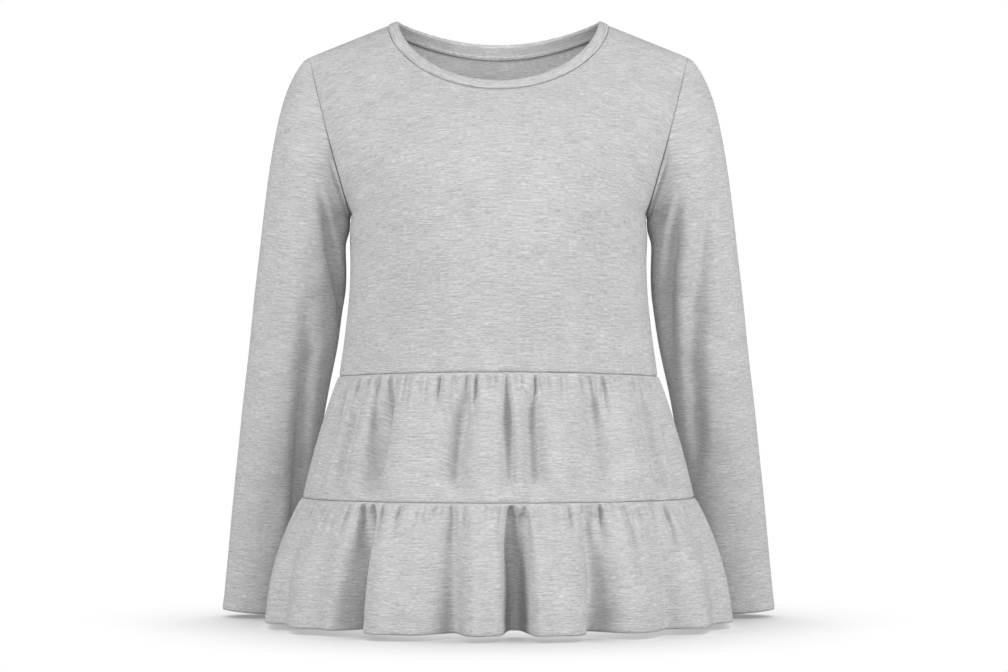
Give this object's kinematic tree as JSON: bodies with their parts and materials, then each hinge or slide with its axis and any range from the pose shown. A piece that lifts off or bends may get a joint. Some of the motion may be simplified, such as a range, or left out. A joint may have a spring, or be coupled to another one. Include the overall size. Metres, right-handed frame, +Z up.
{
  "type": "tunic blouse",
  "caption": "Long-sleeved jersey tunic blouse with a round banded neck, plain bodice and gathered tiers to a flared hem, held open as when worn.",
  "frame": {"origin": "midway between the two high shoulder points, where the wearer's shoulders hold the garment", "axes": "+Z up, -Y towards the garment's front, +X towards the wearer's left"},
  "size_m": [0.5972, 0.3388, 0.6309],
  "materials": {
    "jersey": "matte heather grey cotton jersey",
    "band_jersey": "matte heather grey cotton jersey, folded double"
  },
  "bodies": {
    "root": {"bodice_front": "jersey", "bodice_back": "jersey", "right_upper_sleeve": "jersey", "right_lower_sleeve": "jersey", "left_upper_sleeve": "jersey", "left_lower_sleeve": "jersey", "neckband": "band_jersey", "back_neck_tape": "band_jersey", "upper_tier_front": "jersey", "upper_tier_back": "jersey", "lower_tier_front": "jersey", "lower_tier_back": "jersey"}
  },
  "joints": []
}
